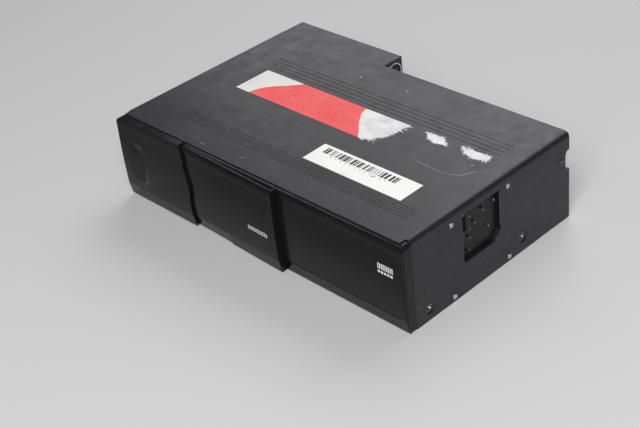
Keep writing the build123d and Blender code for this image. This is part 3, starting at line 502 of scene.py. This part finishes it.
# Red label with its torn ends: smooth backing on the left, rough paper on the right.
red_left = [(51.0, 69.2), (52.6, 74.6), (55.0, 79.5), (59.3, 84.2), (64.1, 88.3), (69.8, 93.5), (75.3, 98.6)]
red_right = [(132.6, 98.4), (135.4, 90.8), (138.8, 86.0), (142.6, 81.3), (147.9, 75.6), (153.7, 69.0)]
tear_right = [(156.4, 68.6), (160.0, 70.2), (162.6, 72.4), (163.8, 76.0), (166.6, 77.4), (168.2, 81.8),
              (169.6, 87.4), (170.2, 93.8), (171.8, 98.7)]
left_edge = ragged(red_left, 1.2, 0.12, 3)
right_edge = ragged(red_right, 1.2, 0.2, 4)
on_top("red_label", [left_edge + right_edge], red_film, PAPER)
on_top("label_torn_left", [[(38.4, 69.2)] + left_edge + [(38.6, 98.6)]], backing_paper, THIN_PAPER)
on_top("label_torn_right", [right_edge + ragged(tear_right, 0.7, 0.7, 5)], torn_paper, THIN_PAPER)
on_top("label_fringe", fringe(tear_right, 31, 5.4), torn_paper, FIBRES)
rng = random.Random(19)
rows = []
for y, start, end in ((94.3, 76.0, 128.0), (91.2, 70.0, 131.0), (88.0, 74.0, 112.0), (85.6, 62.0, 126.0),
                      (83.0, 60.0, 136.0), (80.6, 58.0, 138.0), (78.2, 62.0, 141.0), (75.8, 58.0, 143.0),
                      (73.2, 66.0, 118.0)):
    x = start
    while x < end:
        width = min(rng.uniform(1.0, 4.2), end - x)
        rows.append(bar(x, y, width, 0.42))
        x += width + rng.choice((0.5, 0.6, 0.9, 1.6, 5.0))
on_top("red_label_marks", rows, red_ink, PRINT, PAPER)

# Two scraps of a label that was torn off.
scrap_left = [(184.3, 98.6), (197.2, 99.5), (205.9, 93.3), (196.2, 91.5), (190.0, 93.8), (184.3, 98.6)]
scrap_right = [(212.8, 98.2), (235.3, 98.5), (236.7, 92.8), (227.6, 91.0), (219.0, 93.0), (212.8, 98.2)]
scraps = [ragged(scrap_left, 0.8, 0.5, 11)[:-1], ragged(scrap_right, 0.8, 0.6, 12)[:-1]]
on_top("torn_patches", scraps, torn_paper, THIN_PAPER)
scrap_fibres = fringe(scrap_left[::-1], 32, 2.4) + fringe(scrap_right[::-1], 33, 3.0)
on_top("patch_fringe", scrap_fibres, torn_paper, FIBRES)


# ---------------------------------------------------------------- dust and glue on the cover
def streak(points, width, seed):
    """Outline of a thin ragged stroke along points."""
    rng = random.Random(seed)
    left, right = [], []
    fine = ragged(points, 1.0, 0.25, seed)
    for i, (x, y) in enumerate(fine):
        ax, ay = fine[max(0, i - 1)]
        bx, by = fine[min(len(fine) - 1, i + 1)]
        span = math.hypot(bx - ax, by - ay) or 1
        half = width * rng.uniform(0.2, 0.55)
        left.append((x - (by - ay) / span * half, y + (bx - ax) / span * half))
        right.append((x + (by - ay) / span * half, y - (bx - ax) / span * half))
    return left + right[::-1]


def crumb(x, y, size, seed):
    """Outline of a grain with six uneven corners."""
    rng = random.Random(seed)
    return [(x + size * rng.uniform(0.5, 1) * math.cos(a * math.pi / 3),
             y + size * rng.uniform(0.5, 1) * math.sin(a * math.pi / 3)) for a in range(6)]


dust = [streak([(202.9, 69.3), (211.0, 68.7), (220.6, 68.6), (227.5, 69.6)], 0.34, 21),
        streak([(227.5, 69.6), (233.6, 72.3), (238.0, 80.3)], 0.42, 22),
        streak([(66.0, 7.5), (70.5, 9.5)], 0.3, 26),
        streak([(75.5, 5.5), (80.0, 6.0)], 0.3, 27),
        streak([(109.0, 8.5), (114.0, 10.5)], 0.25, 28),
        streak([(100.0, 22.0), (104.0, 22.5)], 0.22, 29),
        crumb(232.2, 84.7, 1.0, 23),
        crumb(99.5, 127.5, 1.0, 24),
        crumb(139.2, 130.8, 1.1, 25)]
# Loose grains near the front edge and over the rear two thirds of the cover, some gathered in spots.
for k in range(30):
    x = rng.uniform(8, 247)
    y = rng.choice((rng.uniform(2, 18), rng.uniform(52, 146), rng.uniform(2, 14)))
    dust.append(crumb(x, y, rng.uniform(0.10, 0.28), 100 + k))
for spot_x, spot_y in ((62.0, 8.0), (78.0, 7.0), (120.0, 9.0), (172.0, 8.5), (215.0, 12.0), (28.0, 26.0)):
    for k in range(3):
        x = spot_x + rng.uniform(-4, 4)
        y = spot_y + rng.uniform(-2, 2)
        dust.append(crumb(x, y, rng.uniform(0.10, 0.26), 300 + k))
on_top("dust_and_residue", dust, residue, DUST)

# ---------------------------------------------------------------- printed marks, painted shade and a painted highlight on the front
DOOR_MARK_Z = 23.7
DOOR_MARK_HEIGHT = 2.7
DOOR_MARK_WIDTHS = (1.2, 0.5, 1.2, 1.2, 0.5, 1.3, 1.2, 0.5, 1.2, 1.2, 0.6)
DOOR_MARK_GAP = 0.72
STROKE = 0.7
marks, x = [], 127.0
for width in DOOR_MARK_WIDTHS:
    marks += [bar(x, DOOR_MARK_Z, 0.55, DOOR_MARK_HEIGHT, 0.2),
              bar(x + 0.5, DOOR_MARK_Z, width - 0.35, STROKE),
              bar(x + 0.7, DOOR_MARK_Z + DOOR_MARK_HEIGHT - STROKE, width - 0.35, STROKE)]
    x += width + DOOR_MARK_GAP
on_front("door_marks", skin_of("centre_leaf"), marks, white_print, "centre_leaf")

# The finger scoop's right edge: a painted shade line along it, and a painted highlight, a glint at its foot
# and a bright sliver above it.
CREASE_WIDTH = 0.75
leaf_skin = skin_of("left_leaf")
crease = [(22.7, 16.9), (23.3, 22.0), (23.9, 28.0), (24.2, 34.4), (24.6, 41.0), (25.0, 48.3)]
crease_shade_line = [[(ax, az), (ax + CREASE_WIDTH, az), (bx + CREASE_WIDTH, bz), (bx, bz)]
               for (ax, az), (bx, bz) in zip(crease, crease[1:])]
on_front("scoop_edge_shade_line", leaf_skin, crease_shade_line, painted_shade_black, "left_leaf", 0.04)
# Painted highlight: a grey glint at the scoop's foot and a bright sliver along its edge.
glint_at_foot = [(23.2 + 0.6 * math.cos(k * math.pi / 4), 17.3 + 0.8 * math.sin(k * math.pi / 4))
             for k in range(8)]
highlight_sliver = [(23.75, 18.0), (23.95, 18.0), (24.65, 27.0), (24.6, 27.0)]
on_front("scoop_edge_painted_highlight", leaf_skin, [glint_at_foot, highlight_sliver], faded_ink_and_highlight, "left_leaf", 0.05)

# Symbol on the bezel: a row of nine tall bars over a row of five short ones.
SYMBOL_X = 235.2
symbol = [bar(SYMBOL_X + 1.35 * k, 39.4, 0.75, 3.9) for k in range(9)]
symbol += [bar(SYMBOL_X + 2.4 * k, 36.7, 1.7, 1.6) for k in range(5)]
on_front("bezel_symbol", skin_of("front_bezel"), symbol, white_print, "housing")

# ---------------------------------------------------------------- threads of the mounting nuts
THREAD_TURNS = 5
THREAD_PITCH = 0.5
THREAD_MARGIN = 0.35
THREAD_INNER = 1.8
THREAD_OUTER = 2.12
THREAD_WIDTH = 0.42
first_right = high_x("mount_nuts") - THREAD_MARGIN - (THREAD_TURNS - 1) * THREAD_PITCH
first_left = low_x("mount_nuts") + THREAD_MARGIN
bm = bmesh.new()
for y, z in MOUNT_HOLES:
    for k in range(THREAD_TURNS):
        for first in (first_right, first_left):
            center = at(first + THREAD_PITCH * k, y, z)
            ridge(bm, center, OUT_RIGHT, THREAD_INNER, THREAD_OUTER, THREAD_WIDTH)
piece("mount_threads", bm, MATS["screw_steel"], "housing")

# ---------------------------------------------------------------- behind and round the side windows
MARK_SHEET = 0.04
MARK_LIFT = 0.02

# Painted shade: a near-black sheet where each selector plate's slot lies in shade.
bm = bmesh.new()
for x, outward in SELECTOR_PLATES:
    slot_shape = bar(51.4, 40.4, 2.8, 11.2)
    slab(bm, [at(x + MARK_LIFT * outward.x, y, z) for y, z in slot_shape], MARK_SHEET, outward)
piece("selector_slot_shade", bm, painted_shade_black, "housing", smooth=False)

# Painted light along the rear edge of each window: a lighter strip where that edge is lit.
LIT_EDGE_Y = WINDOW_REAR - MARK_LIFT
bm = bmesh.new()
for near in (WIDTH - 0.65, 0.05):
    slab(bm, [at(x, LIT_EDGE_Y, z) for x, z in bar(near, 30.0, 0.6, 22.6)], MARK_SHEET, FORWARD)
piece("window_edge_painted_light", bm, lit_edge_paint, "housing", smooth=False)

# Bright pins of each selector plate: y, z and radius.
PINS = ((52.8, 51.3, 0.45), (57.5, 48.4, 0.45), (62.4, 41.6, 0.40), (70.1, 46.2, 0.50), (79.8, 47.9, 0.65),
        (74.1, 32.8, 0.45), (51.6, 39.6, 0.30), (57.4, 33.6, 0.40), (56.7, 25.0, 0.40), (57.3, 39.5, 0.30))
bm = bmesh.new()
for y, z, radius in PINS:
    for x, outward in SELECTOR_PLATES:
        screw_head(bm, at(x, y, z), outward, radius, radius / 1.8, cross=False)
piece("selector_pins", bm, MATS["screw_steel"], "housing")

# End of the right lever's pin, seen in the first detent hole.
angle = math.radians(FIRST_DETENT)
boss_y = PIVOT_Y + DETENT_RADIUS * math.cos(angle)
boss_z = PIVOT_Z + DETENT_RADIUS * math.sin(angle)
bm = bmesh.new()
screw_head(bm, at(high_x("selector_lever_right"), boss_y, boss_z), OUT_RIGHT, 1.0, 0.26, cross=False)
piece("selector_boss_right", bm, MATS["screw_steel"], "selector_lever_right")


# ---------------------------------------------------------------- floor, light, camera
# Painted shade in the floor's reflections: the brightness that the mirrored floor keeps ahead of the object
# and far to its right.
KEPT_AHEAD = 0.42
KEPT_ASIDE = 0.72
FLOOR_GAP = 0.2


def floor_material(color):
    """Pale matt floor; in reflections its colour is darkened ahead of the object and far to its right, a
    painted shade.
    """
    mat, tree, shader = new_material("pale_floor_with_painted_reflection_shade")
    shader.inputs["Roughness"].default_value = 0.6
    shader.inputs["Specular IOR Level"].default_value = 0.2
    source = tree.nodes.new("ShaderNodeTexCoord")
    place = tree.nodes.new("ShaderNodeSeparateXYZ")
    tree.links.new(source.outputs["Object"], place.inputs[0])
    ahead = remap(tree, place.outputs["Y"], -0.13, -0.088, KEPT_AHEAD, 1.0)
    beside = remap(tree, place.outputs["X"], 0.125, 0.145, 0.0, 1.0)
    aside = remap(tree, place.outputs["X"], 0.17, 0.23, 1.0, KEPT_ASIDE)
    kept = math_node(tree, "MULTIPLY", math_node(tree, "MAXIMUM", ahead, beside), aside)
    # Painted shade: mirrored rays see the floor's colour darkened where kept is low.
    mirrored = tree.nodes.new("ShaderNodeLightPath").outputs["Is Glossy Ray"]
    shade = math_node(tree, "MULTIPLY", mirrored, math_node(tree, "SUBTRACT", 1.0, kept))
    tree.links.new(mix(tree, shade, color, (0.0, 0.0, 0.0)), shader.inputs["Base Color"])
    return mat


bpy.ops.mesh.primitive_plane_add(size=6.0, location=(0, 0, -FLOOR_GAP / 1000))
floor = bpy.context.object
floor.name = "floor"
floor.data.materials.append(floor_material((0.62, 0.62, 0.62)))

world = bpy.data.worlds.new("studio")
bpy.context.scene.world = world
world.use_nodes = True
world.node_tree.nodes["Background"].inputs["Color"].default_value = (1, 1, 1, 1)
world.node_tree.nodes["Background"].inputs["Strength"].default_value = 0.12


def lamp(name, location, size, power, color=(1.0, 1.0, 1.0)):
    """Rectangular lamp turned to the object's middle; location and size in metres."""
    data = bpy.data.lights.new(name, "AREA")
    data.shape = "RECTANGLE"
    data.size, data.size_y = size
    data.energy = power
    data.color = color
    obj = bpy.data.objects.new(name, data)
    obj.location = location
    obj.rotation_euler = (-Vector(location)).to_track_quat("-Z", "Y").to_euler()
    bpy.context.scene.collection.objects.link(obj)


lamp("sheen", (-1.15, 1.45, 0.85), (1.3, 0.6), 5, (0.985, 0.975, 1.0))
lamp("key", (-0.3, 1.3, 1.5), (1.6, 1.0), 13)
lamp("front", (0.8, -0.95, 1.2), (1.0, 1.0), 27)
lamp("edge", (-1.2, -1.05, 1.05), (0.6, 0.2), 1.2)

# Camera fitted to the photograph: angles in degrees, the eye's place in mm.
AZIMUTH = 49.36164
ELEVATION = 33.42211
ROLL = -7.12725
EYE = (651.3656, -396.6969, 457.8163)
FOCAL_PIXELS = 1266.7697
IMAGE_WIDTH = 640
SENSOR_WIDTH = 36.0

azimuth, elevation, roll = (math.radians(v) for v in (AZIMUTH, ELEVATION, ROLL))
back = Vector((math.sin(azimuth) * math.cos(elevation), -math.cos(azimuth) * math.cos(elevation),
               math.sin(elevation)))
level = Vector((math.cos(azimuth), math.sin(azimuth), 0))
upright = back.cross(level)
right = level * math.cos(roll) + upright * math.sin(roll)
above = upright * math.cos(roll) - level * math.sin(roll)
camera_data = bpy.data.cameras.new("camera")
camera_data.sensor_fit = "HORIZONTAL"
camera_data.sensor_width = SENSOR_WIDTH
camera_data.lens = FOCAL_PIXELS / IMAGE_WIDTH * SENSOR_WIDTH
camera_data.clip_start = 0.01
camera = bpy.data.objects.new("camera", camera_data)
turn = Matrix((right, above, back)).transposed()
camera.matrix_world = Matrix.Translation(at(*EYE)) @ turn.to_4x4()
bpy.context.scene.collection.objects.link(camera)
bpy.context.scene.camera = camera
bpy.context.scene.view_settings.view_transform = "Standard"
